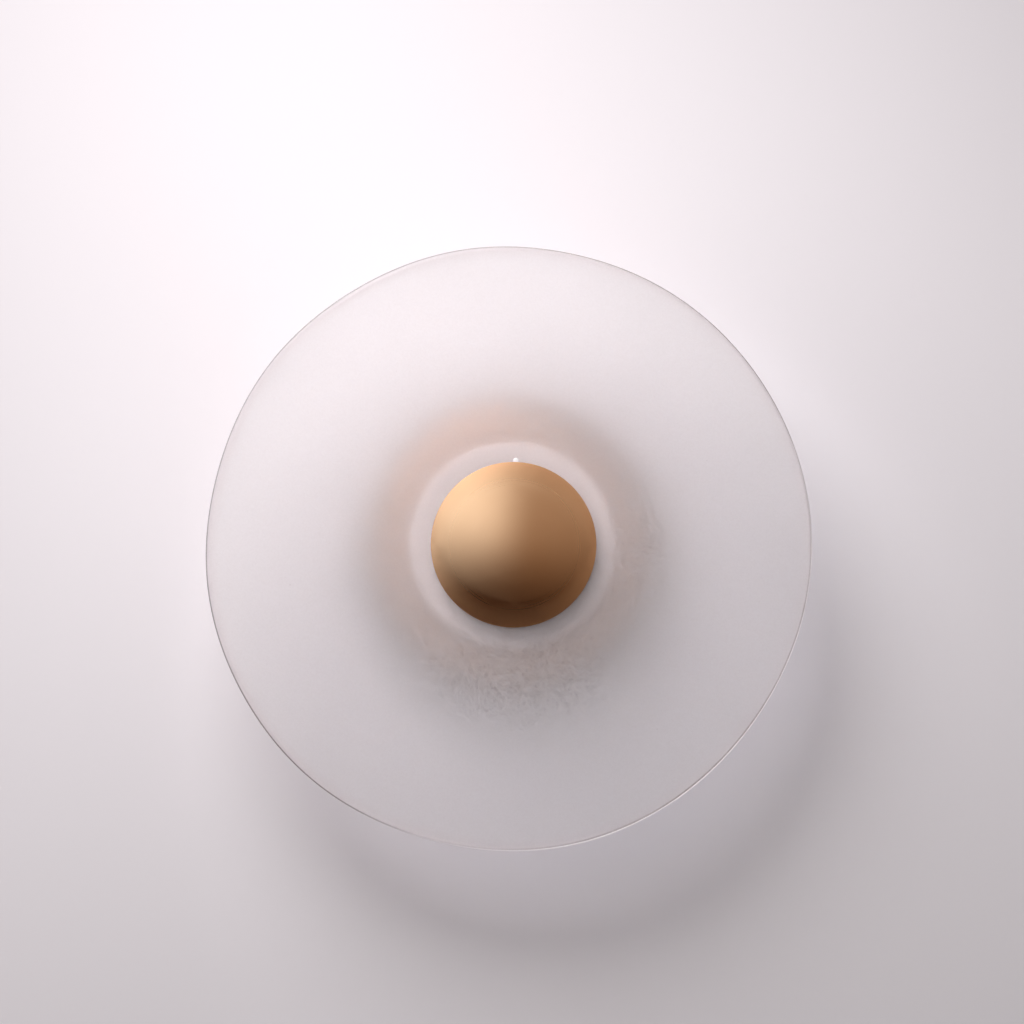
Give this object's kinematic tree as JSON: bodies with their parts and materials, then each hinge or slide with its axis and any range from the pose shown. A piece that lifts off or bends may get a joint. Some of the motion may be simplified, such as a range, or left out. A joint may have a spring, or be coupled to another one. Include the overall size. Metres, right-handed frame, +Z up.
{
  "type": "wall sconce with a glass disc",
  "caption": "Wall sconce: a round frosted glass disc clamped between a brass canopy on the wall and a brass dome.",
  "frame": {"origin": "on the wall plane, on the axis of the centre rod, midway between the bracket's two wall slots", "axes": "+Z up, +X to the right as seen from the room, +Y into the wall; the room is on the -Y side"},
  "size_m": [0.3007, 0.0739, 0.2999],
  "materials": {
    "brass_satin": "circumferentially brushed satin, lacquered",
    "raw_brass": "turned",
    "zinc_steel": "zinc plated",
    "tinned_copper": "tinned",
    "plain_aluminium": "mill",
    "frosted_glass": "satin frosted on both faces, fire-polished edge",
    "opal_acrylic": "opal, translucent",
    "clear_silicone": "translucent",
    "dark_rubber": "moulded",
    "white_plastic": "moulded",
    "circuit_green": "solder mask",
    "white_solder_mask": "white solder mask on aluminium board",
    "led_phosphor": "phosphor gel",
    "ferrite": "sintered",
    "capacitor_sleeve": "shrink sleeve",
    "lead_brown": "insulation",
    "lead_blue": "insulation",
    "lead_green_yellow": "insulation",
    "lead_red": "insulation",
    "lead_black": "insulation"
  },
  "bodies": {
    "fixture": {"wall_bracket": "zinc_steel", "canopy_screws": "brass_satin", "earth_screw": "zinc_steel", "earth_ring_terminal": "tinned_copper", "canopy": "brass_satin", "chassis_plate": "zinc_steel", "rod_washer": "zinc_steel", "rod_nut": "zinc_steel", "centre_rod": "zinc_steel", "lead_grommet": "dark_rubber", "driver_case": "white_plastic", "driver_lid": "white_plastic", "driver_board": "circuit_green", "driver_transformer": "ferrite", "driver_capacitors": "capacitor_sleeve", "driver_screws": "zinc_steel", "terminal_block": "white_plastic", "terminal_barrels": "raw_brass", "terminal_screws": "zinc_steel", "terminal_block_screws": "zinc_steel", "heat_spreader": "plain_aluminium", "led_board": "white_solder_mask", "led_chips": "led_phosphor", "led_connector": "white_plastic", "led_board_screws": "zinc_steel", "diffuser": "opal_acrylic", "glass_collar": "raw_brass", "rear_gasket": "clear_silicone", "glass_disc": "frosted_glass", "front_gasket": "clear_silicone", "clamp_washer": "zinc_steel", "glass_nut": "raw_brass", "live_lead": "lead_brown", "neutral_lead": "lead_blue", "earth_lead": "lead_green_yellow", "led_lead_positive": "lead_red", "led_lead_negative": "lead_black"},
    "dome_carriage": {"dome_seal": "clear_silicone"},
    "dome_shell": {"dome": "brass_satin", "dome_boss": "raw_brass"}
  },
  "joints": [
    {"name": "dome_travel", "type": "slide", "parent": "fixture", "child": "dome_carriage", "axis": [0, -1, 0], "range_m": [0, 0.006]},
    {"name": "dome_turn", "type": "hinge", "parent": "dome_carriage", "child": "dome_shell", "pos_m": [0, -0.068, 0], "axis": [0, -1, 0], "range_deg": [0, 2160]}
  ],
  "couplings": [
    {"joint": "dome_travel", "follows": "dome_turn", "m_per_rad": 0.00015915}
  ]
}
